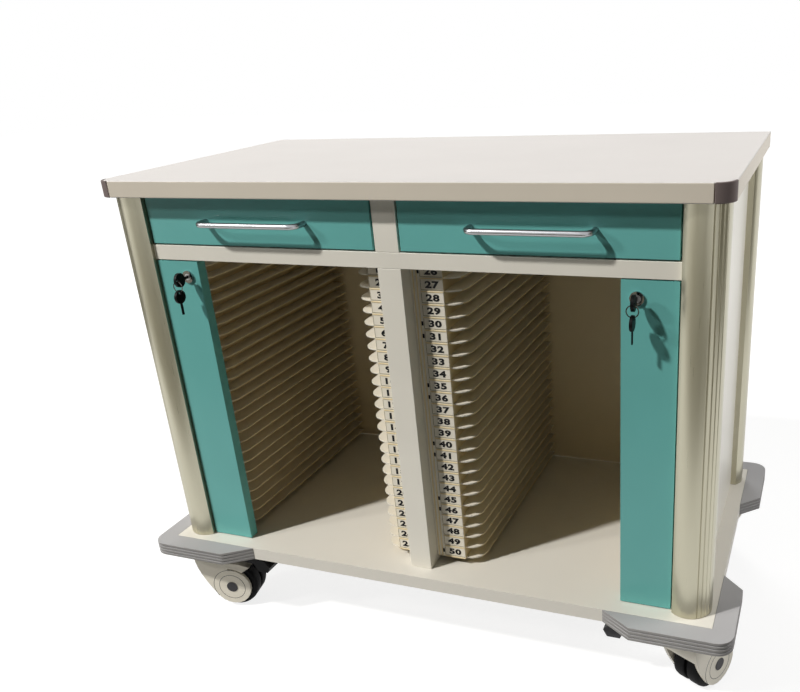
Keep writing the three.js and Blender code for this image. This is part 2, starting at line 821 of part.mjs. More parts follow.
function casters() {
  for (const [corner, [sx, sy]] of Object.entries(corners)) {
    const place = [sx * casterX, sy * casterY];
    const under = casterHeight - seatGap;
    const spindleEnd = under - swivelPlateThickness - spindleLength + seatGap;
    const plateSpan = [under - swivelPlateThickness, under];
    let swivel = rod("z", place, plateSpan, swivelPlateRadius, plateSides)
      .add(rod("z", place, [spindleEnd, under - overrun], spindleRadius));
    if (sy < 0) {
      swivel = swivel.add(pedalBracket(place, -sx, under));
      piece(`brake_pedal_${corner}`, brakePedal(place, -sx, under), "pedal");
    }
    piece(`caster_plate_${corner}`, swivel, "steel");

    const turned = new THREE.Group();
    turned.position.set(place[0], place[1], 0);
    turned.rotation.z = THREE.MathUtils.degToRad(casterAngles[corner]);
    trolley.add(turned);
    piece(`caster_fork_${corner}`, casterFork(), "hood", turned);
    piece(`caster_wheel_${corner}`, casterWheel(), "tyre", turned);
  }
}

worktop();
posts();
base();
bumpers();
walls();
frontRail();
partitions();
slotPanels();
for (const [side, sx] of Object.entries(sides)) {
  drawer(side, sx);
  lockBar(side, sx);
}
casters();

export default trolley;
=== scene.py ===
"""The dressed chart trolley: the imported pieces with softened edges, numbered labels and a studio."""

import json
import math

import bmesh
import bpy
from mathutils import Matrix, Vector


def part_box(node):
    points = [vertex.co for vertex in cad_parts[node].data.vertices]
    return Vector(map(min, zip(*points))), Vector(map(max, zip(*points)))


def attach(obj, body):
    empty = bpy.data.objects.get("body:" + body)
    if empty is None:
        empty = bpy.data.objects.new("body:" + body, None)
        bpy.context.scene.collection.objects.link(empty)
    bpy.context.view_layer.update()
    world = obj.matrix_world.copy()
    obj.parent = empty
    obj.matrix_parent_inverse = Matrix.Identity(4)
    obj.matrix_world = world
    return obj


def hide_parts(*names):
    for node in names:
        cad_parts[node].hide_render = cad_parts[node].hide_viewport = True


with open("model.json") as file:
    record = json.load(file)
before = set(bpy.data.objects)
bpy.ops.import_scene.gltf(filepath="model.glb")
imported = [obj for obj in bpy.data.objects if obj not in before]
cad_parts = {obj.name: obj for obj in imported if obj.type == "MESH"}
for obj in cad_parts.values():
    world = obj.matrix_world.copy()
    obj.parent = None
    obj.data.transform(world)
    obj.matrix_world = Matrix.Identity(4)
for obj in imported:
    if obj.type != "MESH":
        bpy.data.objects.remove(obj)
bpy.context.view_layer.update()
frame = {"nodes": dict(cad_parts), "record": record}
BODY_OF = {
    node: body
    for body, nodes in frame["record"]["behaviour"]["bodies"].items()
    for node in nodes
}
JOINTS = {joint["name"]: joint for joint in frame["record"]["behaviour"]["joints"]}
SIDES = {"left": -1, "right": 1}
CORNERS = ("front_left", "front_right", "rear_left", "rear_right")
MM = 0.001

# Camera, fitted to the photograph: degrees, metres and pixels, with the sensor in millimetres
IMAGE = (800, 692)
CAMERA_PLACE = (0.6471, -1.4389, 1.0688)
CAMERA_YAW = 21.707
CAMERA_PITCH = 23.602
CAMERA_ROLL = 3.422
FOCAL = 856.82
CENTRE = (500, 410)
SENSOR = 36

# Slots and their labels, in millimetres, with places measured from the divider's middle
SLOT_COUNT = 25
SLOT_PITCH = 22
LABEL_SPANS = {"left": (21.8, 56.2), "right": (38, 77.4)}
LABEL_RISE = 3.4
LABEL_HEIGHT = 17.4
LABEL_THICKNESS = 0.5
# width of the painted shadow lines along each card's left and bottom edges
SHADOW_LINE_WIDTH = 0.7
LIP_HEIGHT = 1.4
LIP_DEPTH = 1.3
DIGIT_MIDDLES = {"left": 38, "right": 58}
DIGIT_HEIGHT = 10.6
DIGIT_WEIGHT = 0.7
DIGIT_STRETCH = 1.48
DIGIT_SPACING = 1.1
DIGIT_DEPTH = 0.15
FIRST_NUMBER = {"left": 1, "right": 26}
BEADS = (25.5, 32)
BEAD_RADIUS = 1.2
SCREW_MIDDLE = 35.2
SCREW_SIZE = (3.2, 0.8, 7)
GROUP = 5  # labels in a group, with a screw at its first and last
LABEL_SINK = 0.1
# how far the painted shadow lines stand proud of the card
SHADOW_LINE_PROUD = 0.1
BEAD_SIDES = 12
DIGIT_SHARE = 0.7  # height of a figure as a share of the font's size
DIGIT_STEPS = 3

# Back sheet, in millimetres
BACK_SCREWS = 5
BACK_SCREW_INSET = 16
BACK_SCREW_RADIUS = 4
BACK_SCREW_PROUD = 1.2
BACK_SCREW_SIDES = 16

# Handles, in millimetres
BAR_RADIUS = 4.7
BAR_BEND = 15
BEND_STEPS = 10
BAR_STEPS = 6

# Edges: roundings in millimetres, angles in degrees, steps across a rounding
WELD = 0.01
FLAT_ANGLE = 1
EDGE_ANGLE = 35
POST_EDGE_ANGLE = 22
RING_EDGE_ANGLE = 80
SMOOTH_ANGLE = 40
WHEEL_SMOOTH_ANGLE = 50
NORMAL_WEIGHT = 100
RING_STEPS = 1
ROUGH_STEPS = 2
FINE_STEPS = 3
TOP_ROUND = 2.0
BASE_ROUND = 1.2
FOLD_ROUND = 0.7
DECK_ROUND = 0.4
SHEET_ROUND = 0.5
CAP_ROUND = 1.2
POST_ROUND = 0.35
BUMPER_ROUND = 0.7
PLATE_ROUND = 0.6
SLOT_ROUND = 0.7
FRONT_ROUND = 1.0
SLIDE_ROUND = 0.4
LOCK_BAR_ROUND = 0.8
BARREL_ROUND = 0.6
PLUG_ROUND = 0.3
KEY_ROUND = 0.8
RING_ROUND = 0.1
HOOD_ROUND = 1.3
PEDAL_ROUND = 2.5

# Finishes: size of the colour blotches in metres, detail of the noise, the rest as shares
BLOTCH = 0.12
BROAD_DETAIL = 4
FINE_DETAIL = 2
TINT_STOPS = (0.3, 0.7)
GLOSS_SPREAD = 0.18
GRAIN_DEPTH = 0.25
FACING = 0.5  # least share of a face's direction that counts as pointing a way

# Wheels and hoods, in millimetres
WHEEL_RADIUS = 50
TYRE_HALF = 26.5
TYRE_INNER = 38
TREAD_HALF = 19
SHOULDER = 2.5
SPLIT_RADIUS = 42
SPLIT_HALF = 3.5
CORE_GAP = 0.2
CORE_HALF = 25
BOSS_RADIUS = 15
BOSS_HALF = 28.5
BORE_RADIUS = 6.6
CHEEK = 36
HUB_CAP_RADIUS = 11.6
CAP_PROUD = 0.8
CAP_SINK = 1
CAP_SIDES = 32
HUB_RING_RADIUS = 28
DISC_EDGE_RADIUS = 40
DISC_EDGE_ANGLES = (-35, 105)
LINE_WIDTH = 0.45
LINE_PROUD = 0.12
TURN_SIDES = 64

# Studio: lamp distances in metres, light on a facing surface as a share of white
AIM = (0, -0.25, 0.6)
FLOOR_REACH = 12
FLOOR_ROUGHNESS = 0.9
FLOOR_SHADE = 0.3
FLOOR_BOUNCE = 0.5
FLOOR_GLOW = 0.82
FLOOR_NEAR = 1.1
FLOOR_FAR = 3.2
BOUNCE_NEAR = 0.7
BOUNCE_FAR = 1.5
SKY = 0.05
SKY_COLOUR = (1, 0.94, 0.76, 1)
WHITE = (1, 1, 1, 1)
WARM = (1, 0.983, 0.945)
CARD_SHADE = (86, 80, 50)
CARDS = (
    {"name": "front_card", "reach": 2.6, "place": (-0.6, -3.75, 0.02), "turn": (0, 0, 0)},
    {"name": "right_card", "reach": 1.1, "place": (2.4, -0.3, 0.4), "turn": (90, 0, 95)},
    {"name": "left_card", "reach": 1.1, "place": (-2.4, 0.1, 0.4), "turn": (90, 0, -95)},
)
FRONT_LAMPS = (
    {"name": "key", "way": (-1, -1, 1.45), "distance": 9, "size": 0.5, "light": 0.83},
    {"name": "second", "way": (-1.4, -1, 0.9), "distance": 8, "size": 0.8, "light": 0.2},
)
RIGHT_LAMP = {
    "way": (1, 0.1, 0.85), "distance": 1.3, "size": 0.6, "light": 0.5, "aim": (0.55, 0, 0.2),
}
BACK_LAMP = {
    "way": (-0.8, 2.1, 0.9), "distance": 2.9, "size": 1.6, "light": 0.55, "aim": (0, 0.3, 0.6),
}


def rgb(red, green, blue):
    """An ordinary 0 to 255 colour, on the sRGB curve, as the linear colour that shaders take."""
    def linear(value):
        share = value / 255
        return share / 12.92 if share <= 0.04045 else ((share + 0.055) / 1.055) ** 2.4
    return (linear(red), linear(green), linear(blue), 1)


def noise(tree, vector, size, detail):
    """Procedural noise with features of a given size in metres."""
    node = tree.nodes.new("ShaderNodeTexNoise")
    node.inputs["Scale"].default_value = 1 / size
    node.inputs["Detail"].default_value = detail
    tree.links.new(vector, node.inputs["Vector"])
    return node.outputs["Fac"]


def finish(
    name, colour, roughness, metallic=0.0, sheen=0.25,
    shift=0.025, grain=0.1, size=0.002, streak=1.0,
):
    """A finish with faint colour blotches, a varying gloss and a fine grain, drawn out along Z."""
    material = bpy.data.materials.new(name)
    material.use_nodes = True
    tree = material.node_tree
    shader = tree.nodes["Principled BSDF"]
    shader.inputs["Metallic"].default_value = metallic
    shader.inputs["Specular IOR Level"].default_value = sheen
    place = tree.nodes.new("ShaderNodeTexCoord")
    drawn = tree.nodes.new("ShaderNodeMapping")
    drawn.inputs["Scale"].default_value = (1, 1, 1 / streak)
    tree.links.new(place.outputs["Object"], drawn.inputs["Vector"])
    broad = noise(tree, drawn.outputs["Vector"], BLOTCH, BROAD_DETAIL)
    fine = noise(tree, drawn.outputs["Vector"], size, FINE_DETAIL)

    tint = tree.nodes.new("ShaderNodeValToRGB")
    for stop, along, way in zip(tint.color_ramp.elements, TINT_STOPS, (-1, 1)):
        stop.position = along
        stop.color = (*(channel * (1 + way * shift) for channel in colour[:3]), 1)
    tree.links.new(broad, tint.inputs["Fac"])
    tree.links.new(tint.outputs["Color"], shader.inputs["Base Color"])

    gloss = tree.nodes.new("ShaderNodeMapRange")
    gloss.inputs["To Min"].default_value = roughness * (1 - GLOSS_SPREAD)
    gloss.inputs["To Max"].default_value = roughness * (1 + GLOSS_SPREAD)
    tree.links.new(fine, gloss.inputs["Value"])
    tree.links.new(gloss.outputs["Result"], shader.inputs["Roughness"])

    bump = tree.nodes.new("ShaderNodeBump")
    bump.inputs["Strength"].default_value = grain
    bump.inputs["Distance"].default_value = size * GRAIN_DEPTH
    tree.links.new(fine, bump.inputs["Height"])
    tree.links.new(bump.outputs["Normal"], shader.inputs["Normal"])
    return material


WORKTOP = finish("cream_worktop", rgb(236, 232, 230), 0.5, shift=0.012, grain=0.05, size=0.004)
BOARD = finish("cream_board", rgb(232, 228, 219), 0.5, shift=0.012, grain=0.05, size=0.004)
# The worktop's upright edges in a darker, warmer cream than its top: painted shade.
TOP_EDGE_PAINTED_SHADE = finish("top_edge_painted_shade", rgb(226, 217, 202), 0.45, grain=0.05, size=0.004)
SHEET = finish("cream_sheet", rgb(239, 235, 224), 0.32, sheen=0.5, grain=0.06)
# The back sheet's bay side in a darker, warmer cream than the sheet: painted shade inside the bays.
BACK_PAINTED_SHADE = finish("back_wall_painted_shade", rgb(227, 213, 181), 0.4, grain=0.06)
# The slot mouldings' cream, warmed and darkened as painted shade for the bays; a whiter copy on faces
# that face forward or up is painted light.
MOULDING_WITH_PAINTED_SHADE = finish("moulding_painted_shade", rgb(231, 213, 172), 0.4, grain=0.04, size=0.003)
MOULDING_PAINTED_LIT = finish("moulding_painted_lit", rgb(235, 230, 217), 0.4, grain=0.04, size=0.003)
TEAL = finish("teal_paint", rgb(110, 184, 180), 0.24, grain=0.04, size=0.0025)
POST = finish(
    "satin_aluminium", rgb(192, 188, 168), 0.3, metallic=0.85, grain=0.02, size=0.0012, streak=60,
)
CAP = finish("corner_cap", rgb(120, 108, 106), 0.55)
BUMPER = finish("grey_rubber", rgb(178, 177, 179), 0.6, grain=0.15)
# The bumpers' upright sides: a coarser ribbed grain, and a darker grey than the tops as painted shade.
RIBS_AND_PAINTED_SHADE = finish("ribbed_rubber_painted_shade", rgb(152, 150, 149), 0.65, grain=0.2)
STEEL = finish("zinc_steel", rgb(190, 190, 192), 0.35, metallic=1.0)
SATIN = finish("satin_bar", rgb(172, 173, 176), 0.24, metallic=1.0, grain=0.02)
CHROME = finish("chrome", rgb(172, 172, 175), 0.12, metallic=1.0, grain=0.01)
WIRE = finish("ring_wire", rgb(105, 103, 101), 0.2, metallic=1.0, grain=0.02)
KEY = finish("black_plastic", rgb(9, 9, 10), 0.4, sheen=0.1)
HOOD = finish("cream_hood", rgb(243, 237, 222), 0.35, sheen=0.4, grain=0.05)
TYRE = finish("black_tyre", rgb(13, 13, 14), 0.62, sheen=0.1, grain=0.2, size=0.003)
CORE = finish("wheel_core", rgb(60, 59, 60), 0.5)
DARK = finish("dark_plastic", rgb(58, 57, 60), 0.5)
PEDAL = finish("pedal_plastic", rgb(15, 15, 16), 0.5, sheen=0.1, grain=0.15)
LABEL = finish("label_card", rgb(236, 230, 216), 0.5, grain=0.05)
# Painted shadow: thin dark lines along each label card's left and bottom edges.
LABEL_PAINTED_SHADOW = finish("label_painted_shadow", rgb(128, 120, 92), 0.6)
INK = finish("ink", rgb(10, 10, 10), 0.6, grain=0.02)


def added(name, mesh, material, body):
    """A new piece that rides on a body."""
    piece = bpy.data.objects.new(name, mesh)
    bpy.context.scene.collection.objects.link(piece)
    mesh.materials.clear()
    mesh.materials.append(material)
    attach(piece, body)
    return piece


def smoothed(piece, angle=SMOOTH_ANGLE):
    """Smooth shading that keeps flats flat and edges over the angle sharp."""
    mesh = piece.data
    mesh.polygons.foreach_set("use_smooth", [True] * len(mesh.polygons))
    mesh.set_sharp_from_angle(angle=math.radians(angle))
    normals = piece.modifiers.new("flat_faces", "WEIGHTED_NORMAL")
    normals.keep_sharp = True
    normals.weight = NORMAL_WEIGHT
    return piece


def softened(node, material, width, steps=ROUGH_STEPS, angle=EDGE_ANGLE):
    """Stands for a CAD node: the same shape with its edges rounded to a width in millimetres."""
    mesh = frame["nodes"][node].data.copy()
    shape = bmesh.new()
    shape.from_mesh(mesh)
    bmesh.ops.remove_doubles(shape, verts=shape.verts, dist=WELD * MM)
    bmesh.ops.dissolve_limit(
        shape, angle_limit=math.radians(FLAT_ANGLE), verts=shape.verts, edges=shape.edges
    )
    sharp = [
        edge
        for edge in shape.edges
        if edge.is_manifold and edge.calc_face_angle() > math.radians(angle)
    ]
    bmesh.ops.bevel(
        shape, geom=sharp, offset=width * MM, segments=steps, profile=0.5,
        affect="EDGES", clamp_overlap=True,
    )
    shape.to_mesh(mesh)
    shape.free()
    piece = added(node + "_soft", mesh, material, BODY_OF[node])
    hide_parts(node)
    return smoothed(piece)


def mesh_of(shape, name):
    """A mesh with its faces turned outward, from a shape that is then done with."""
    mesh = bpy.data.meshes.new(name)
    bmesh.ops.recalc_face_normals(shape, faces=shape.faces)
    shape.to_mesh(mesh)
    shape.free()
    return mesh


def add_box(shape, low, high):
    """A box between two corners in millimetres."""
    low, high = Vector(low) * MM, Vector(high) * MM
    size = Matrix.Diagonal((*(high - low), 1))
    bmesh.ops.create_cube(shape, size=1, matrix=Matrix.Translation((low + high) / 2) @ size)


def add_rod(shape, start, end, radius, sides):
    """A round bar between two points in millimetres."""
    start, end = Vector(start) * MM, Vector(end) * MM
    turn = (end - start).to_track_quat("Z", "Y").to_matrix().to_4x4()
    bmesh.ops.create_cone(
        shape, cap_ends=True, segments=sides, radius1=radius * MM, radius2=radius * MM,
        depth=(end - start).length, matrix=Matrix.Translation((start + end) / 2) @ turn,
    )


def add_turned(shape, profile, start=0, end=360, sides=TURN_SIDES):
    """A closed profile of (radius, along) points in millimetres, turned about Z between two angles."""
    whole = end - start == 360
    rings = []
    for i in range(sides if whole else sides + 1):
        angle = math.radians(start + (end - start) * i / sides)
        rings.append([
            shape.verts.new((
                radius * MM * math.cos(angle), radius * MM * math.sin(angle), along * MM,
            ))
            for radius, along in profile
        ])
    following = rings[1:] + rings[:1] if whole else rings[1:]
    count = len(profile)
    for ring, after in zip(rings, following):
        for j in range(count):
            k = (j + 1) % count
            shape.faces.new((ring[j], ring[k], after[k], after[j]))
    if not whole:
        shape.faces.new(rings[0])
        shape.faces.new(list(reversed(rings[-1])))


def swept(points, radius, steps, name):
    """A round bar along a smooth open line of points in metres."""
    curve = bpy.data.curves.new(name, "CURVE")
    curve.dimensions = "3D"
    curve.bevel_depth = radius
    curve.bevel_resolution = steps
    curve.use_fill_caps = True
    line = curve.splines.new("POLY")
    line.points.add(len(points) - 1)
    for spot, point in zip(line.points, points):
        spot.co = (*point, 1)
    return solid_of(curve, name)


def solid_of(curve, name):
    """The mesh that a curve or text makes."""
    holder = bpy.data.objects.new(name, curve)
    bpy.context.scene.collection.objects.link(holder)
    bpy.context.view_layer.update()
    made = holder.evaluated_get(bpy.context.evaluated_depsgraph_get())
    mesh = bpy.data.meshes.new_from_object(made)
    bpy.data.objects.remove(holder)
    return mesh


# Carcass
def faced(piece, material, chosen):
    """Gives the faces that point a chosen way a finish of their own."""
    piece.data.materials.append(material)
    for face in piece.data.polygons:
        if chosen(face.normal):
            face.material_index = 1


def upright(way):
    return abs(way.z) < FACING


def forward(way):
    return way.y < -FACING


# Forward and upward faces, which get the whiter moulding copy: painted light.
def open_to_light(way):
    return forward(way) or way.z > FACING


def back_screws():
    """Screw heads round the edge of the back sheet."""
    low, high = (Vector(corner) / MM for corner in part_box("back_panel"))
    shape = bmesh.new()
    inset = BACK_SCREW_INSET
    for i in range(BACK_SCREWS):
        share = i / (BACK_SCREWS - 1)
        x = low.x + inset + share * (high.x - low.x - 2 * inset)
        z = low.z + inset + share * (high.z - low.z - 2 * inset)
        places = [(x, low.z + inset), (x, high.z - inset)]
        if 0 < share < 1:
            places += [(low.x + inset, z), (high.x - inset, z)]
        for across, up in places:
            start = (across, high.y - BACK_SCREW_PROUD, up)
            end = (across, high.y + BACK_SCREW_PROUD, up)
            add_rod(shape, start, end, BACK_SCREW_RADIUS, BACK_SCREW_SIDES)
    added("back_screws", mesh_of(shape, "screws"), STEEL, BODY_OF["back_panel"])


def carcass():
    # the worktop's upright edges take the darker cream: painted shade
    faced(softened("top_panel", WORKTOP, TOP_ROUND, FINE_STEPS), TOP_EDGE_PAINTED_SHADE, upright)
    softened("base_panel", BOARD, BASE_ROUND)
    softened("front_rail", SHEET, FOLD_ROUND)
    softened("drawer_partition", SHEET, FOLD_ROUND)
    softened("centre_divider", SHEET, FOLD_ROUND)
    softened("drawer_deck", SHEET, DECK_ROUND)
    # the back sheet's forward faces, inside the bays, take the darker cream: painted shade
    faced(softened("back_panel", SHEET, SHEET_ROUND), BACK_PAINTED_SHADE, forward)
    back_screws()
    for side in SIDES:
        softened(f"top_cap_{side}", CAP, CAP_ROUND)
        softened(f"side_panel_{side}", SHEET, SHEET_ROUND)
    for corner in CORNERS:
        softened(f"post_{corner}", POST, POST_ROUND, angle=POST_EDGE_ANGLE)
        # bumper sides darker than their tops: painted shade, with a ribbed grain
        faced(softened(f"bumper_{corner}", BUMPER, BUMPER_ROUND), RIBS_AND_PAINTED_SHADE, upright)
        softened(f"caster_plate_{corner}", STEEL, PLATE_ROUND)


# Slot panels with their numbered labels
def number_mesh(text):
    """Bold wide figures in the XY plane, centred on the origin, a little thick."""
    curve = bpy.data.curves.new("figures", "FONT")
    curve.body = text
    curve.align_x = "CENTER"
    curve.align_y = "CENTER"
    curve.size = DIGIT_HEIGHT * MM / DIGIT_SHARE
    curve.offset = DIGIT_WEIGHT * MM
    curve.extrude = DIGIT_DEPTH * MM
    curve.resolution_u = DIGIT_STEPS
    curve.space_character = DIGIT_SPACING
    mesh = solid_of(curve, "figures")
    mesh.transform(Matrix.Diagonal((DIGIT_STRETCH, 1, 1, 1)))
    return mesh


def labels(side, sx):
    """Label cards with painted shadow lines, lips and figures on one inner slot panel, with beads and
    screws where they show.
    """
    node = f"slot_panel_{side}_inner"
    low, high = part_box(node)
    face = low[1] / MM
    bottom = low[2] / MM
    top = high[2] / MM
    cards, edges, lips, marks, figures = (bmesh.new() for _ in range(5))
    stand = Matrix.Rotation(math.pi / 2, 4, "X")
    x0, x1 = sorted(sx * value for value in LABEL_SPANS[side])
    front = face - LABEL_THICKNESS
    wide = side == "right"  # only this panel's beads and screws show past the divider
    for i in range(SLOT_COUNT):
        z = bottom + i * SLOT_PITCH
        foot = z + LABEL_RISE
        head = foot + LABEL_HEIGHT
        number = FIRST_NUMBER[side] + SLOT_COUNT - 1 - i
        add_box(cards, (x0, front, foot), (x1, face + LABEL_SINK, head))
        # painted shadow: thin dark strips along the card's left and bottom edges
        add_box(edges, (x0, front - SHADOW_LINE_PROUD, foot), (x0 + SHADOW_LINE_WIDTH, front, head))
        add_box(edges, (x0 + SHADOW_LINE_WIDTH, front - SHADOW_LINE_PROUD, foot), (x1, front, foot + SHADOW_LINE_WIDTH))
        add_box(lips, (x0, face - LIP_DEPTH, z), (x1, face + LABEL_SINK, z + LIP_HEIGHT))
        if wide and i % GROUP in (0, GROUP - 1):
            width, depth, height = SCREW_SIZE
            at = sx * SCREW_MIDDLE
            up = foot + LABEL_HEIGHT / 2
            add_box(marks, (at - width / 2, face - depth, up - height / 2),
                    (at + width / 2, face + LABEL_SINK, up + height / 2))
        mesh = number_mesh(str(number))
        place = Vector((sx * DIGIT_MIDDLES[side], front - DIGIT_DEPTH, foot + LABEL_HEIGHT / 2))
        mesh.transform(Matrix.Translation(place * MM) @ stand)
        figures.from_mesh(mesh)
        bpy.data.meshes.remove(mesh)
    body = BODY_OF[node]
    if wide:
        for bead in BEADS:
            add_rod(lips, (sx * bead, face, bottom), (sx * bead, face, top), BEAD_RADIUS, BEAD_SIDES)
        added(f"label_screws_{side}", mesh_of(marks, "screws"), INK, body)
    added(f"label_cards_{side}", mesh_of(cards, "cards"), LABEL, body)
    added(f"label_shadow_lines_{side}", mesh_of(edges, "edges"), LABEL_PAINTED_SHADOW, body)
    # the lips take the moulding's cream with its painted shade
    smoothed(added(f"label_lips_{side}", mesh_of(lips, "lips"), MOULDING_WITH_PAINTED_SHADE, body))
    numbers = bpy.data.meshes.new("numbers")
    figures.to_mesh(numbers)
    figures.free()
    added(f"slot_numbers_{side}", numbers, INK, body)


def slots():
    for side, sx in SIDES.items():
        for place in ("inner", "outer"):
            moulding = softened(f"slot_panel_{side}_{place}", MOULDING_WITH_PAINTED_SHADE, SLOT_ROUND)
            # forward and upward faces get the whiter copy as painted light; the rest keep the painted
            # shade
            faced(moulding, MOULDING_PAINTED_LIT, open_to_light)
        labels(side, sx)


# Drawers and their bow handles
def handle(side):
    """A round bow bar in place of the CAD handle."""
    node = f"drawer_handle_{side}"
    low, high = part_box(node)
    bar = BAR_RADIUS * MM
    bend = BAR_BEND * MM
    left, right = low[0] + bar, high[0] - bar
    front, back = low[1] + bar, high[1]
    z = (low[2] + high[2]) / 2
    points = [Vector((left, back, z))]
    for i in range(BEND_STEPS + 1):
        angle = math.pi / 2 * i / BEND_STEPS
        x = left + bend * (1 - math.cos(angle))
        y = front + bend * (1 - math.sin(angle))
        points.append(Vector((x, y, z)))
    points += [Vector((left + right - p.x, p.y, z)) for p in reversed(points)]
    mesh = swept(points, bar, BAR_STEPS, "bar")
    piece = added(f"handle_bar_{side}", mesh, SATIN, BODY_OF[node])
    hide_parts(node)
    smoothed(piece)


def drawers():
    for side in SIDES:
        softened(f"drawer_front_{side}", TEAL, FRONT_ROUND, FINE_STEPS)
        softened(f"drawer_tray_{side}", SHEET, SHEET_ROUND)
        for place in ("inner", "outer"):
            softened(f"drawer_slide_{side}_{place}", STEEL, SLIDE_ROUND)
        handle(side)


# Lock bars, locks and keys
def locks():
    for side in SIDES:
        softened(f"lock_bar_{side}", TEAL, LOCK_BAR_ROUND, FINE_STEPS)
        softened(f"lock_barrel_{side}", CHROME, BARREL_ROUND, FINE_STEPS)
        softened(f"lock_plug_{side}", STEEL, PLUG_ROUND)
        softened(f"key_{side}", KEY, KEY_ROUND, FINE_STEPS)
        softened(f"spare_key_{side}", KEY, KEY_ROUND, FINE_STEPS)
        softened(f"key_ring_{side}", WIRE, RING_ROUND, RING_STEPS, RING_EDGE_ANGLE)


# Casters
def axle(corner):
    """The wheel's own frame: Z along the axle, Y up, X away from the trailing side."""
    joint = JOINTS[f"roll_{corner}"]
    turn = Vector(joint["axis"]).to_track_quat("Z", "Y").to_matrix().to_4x4()
    return Matrix.Translation(Vector(joint["pos_m"])) @ turn


def mirrored(half):
    """A profile completed by its mirror image across the wheel's middle."""
    return [(radius, -along) for radius, along in half] + list(reversed(half))


def wheel(corner):
    """A split black tyre on a dark core, in place of the CAD wheel."""
    node = f"caster_wheel_{corner}"
    tread = mirrored([
        (TYRE_INNER, TYRE_HALF), (WHEEL_RADIUS - 2 * SHOULDER, TYRE_HALF),
        (WHEEL_RADIUS - SHOULDER / 2, TYRE_HALF - SHOULDER), (WHEEL_RADIUS, TREAD_HALF),
        (WHEEL_RADIUS, SPLIT_HALF + SHOULDER), (WHEEL_RADIUS - SHOULDER / 2, SPLIT_HALF),
        (SPLIT_RADIUS, SPLIT_HALF),
    ])
    rim = TYRE_INNER - CORE_GAP
    core = mirrored([
        (BORE_RADIUS, BOSS_HALF), (BOSS_RADIUS, BOSS_HALF), (BOSS_RADIUS, CORE_HALF), (rim, CORE_HALF),
    ])
    for name, profile, material in (("tyre", tread, TYRE), ("wheel_core", core, CORE)):
        shape = bmesh.new()
        add_turned(shape, profile)
        mesh = mesh_of(shape, name)
        mesh.transform(axle(corner))
        piece = added(f"{name}_{corner}", mesh, material, BODY_OF[node])
        smoothed(piece, WHEEL_SMOOTH_ANGLE)
        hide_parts(node)


def hood(corner):
    """The hooded fork, with a dark hub cap, a thin ring and the cheek's edge line on each side."""
    node = f"caster_fork_{corner}"
    softened(node, HOOD, HOOD_ROUND, FINE_STEPS)
    caps, lines = bmesh.new(), bmesh.new()
    for way in (-1, 1):
        inner = (0, 0, way * (CHEEK - CAP_SINK))
        outer = (0, 0, way * (CHEEK + CAP_PROUD))
        add_rod(caps, inner, outer, HUB_CAP_RADIUS, CAP_SIDES)
        for radius, angles in ((HUB_RING_RADIUS, (0, 360)), (DISC_EDGE_RADIUS, DISC_EDGE_ANGLES)):
            add_turned(lines, [
                (radius + across * LINE_WIDTH, way * (CHEEK + out * LINE_PROUD))
                for across, out in ((-1, -1), (1, -1), (1, 1), (-1, 1))
            ], *angles)
    for name, shape in (("hub_caps", caps), ("hub_lines", lines)):
        mesh = mesh_of(shape, name)
        mesh.transform(axle(corner))
        smoothed(added(f"{name}_{corner}", mesh, DARK, BODY_OF[node]))


def casters():
    for corner in CORNERS:
        wheel(corner)
        hood(corner)
    softened("brake_pedal_front_left", PEDAL, PEDAL_ROUND, FINE_STEPS)
    softened("brake_pedal_front_right", DARK, PEDAL_ROUND, FINE_STEPS)


# Camera, floor and light
def camera():
    """The photograph's camera, with its optical centre set off from the middle of the picture."""
    yaw, pitch, roll = (math.radians(value) for value in (CAMERA_YAW, CAMERA_PITCH, CAMERA_ROLL))
    reach = math.cos(pitch)
    ahead = Vector((-math.sin(yaw) * reach, math.cos(yaw) * reach, -math.sin(pitch)))
    level = Vector((math.cos(yaw), math.sin(yaw), 0))
    under = ahead.cross(level)
    right = math.cos(roll) * level + math.sin(roll) * under
    down = math.cos(roll) * under - math.sin(roll) * level
    data = bpy.data.cameras.new("camera")
    data.sensor_width = SENSOR
    data.lens = FOCAL * SENSOR / IMAGE[0]
    data.shift_x = (IMAGE[0] / 2 - CENTRE[0]) / IMAGE[0]
    data.shift_y = (CENTRE[1] - IMAGE[1] / 2) / IMAGE[0]
    holder = bpy.data.objects.new("camera", data)
    turn = Matrix((right, -down, -ahead)).transposed().to_4x4()
    holder.matrix_world = Matrix.Translation(Vector(CAMERA_PLACE)) @ turn
    bpy.context.scene.collection.objects.link(holder)
    bpy.context.scene.camera = holder


def lamp(name, way, distance, size, light, colour=WHITE[:3], aim=AIM, glints=True):
    """A round lamp some way off from its aim, where it lights a facing surface by a share of white."""
    data = bpy.data.lights.new(name, "AREA")
    data.shape = "DISK"
    data.size = size
    data.energy = light * math.pi ** 2 * distance ** 2
    data.color = colour
    holder = bpy.data.objects.new(name, data)
    away = Vector(way).normalized()
    holder.location = Vector(aim) + away * distance
    holder.rotation_mode = "QUATERNION"
    holder.rotation_quaternion = (-away).to_track_quat("-Z", "Y")
    holder.visible_glossy = glints
    bpy.context.scene.collection.objects.link(holder)


def seen(tree):
    """A light-path switch that is 1 where a surface is seen by the camera, in gloss or through glass."""
    path = tree.nodes.new("ShaderNodeLightPath")
    rays = ("Is Camera Ray", "Is Glossy Ray", "Is Transmission Ray")
    total = path.outputs[rays[0]]
    for ray in rays[1:]:
        either = tree.nodes.new("ShaderNodeMath")
        either.operation = "MAXIMUM"
        tree.links.new(total, either.inputs[0])
        tree.links.new(path.outputs[ray], either.inputs[1])
        total = either.outputs[0]
    return total


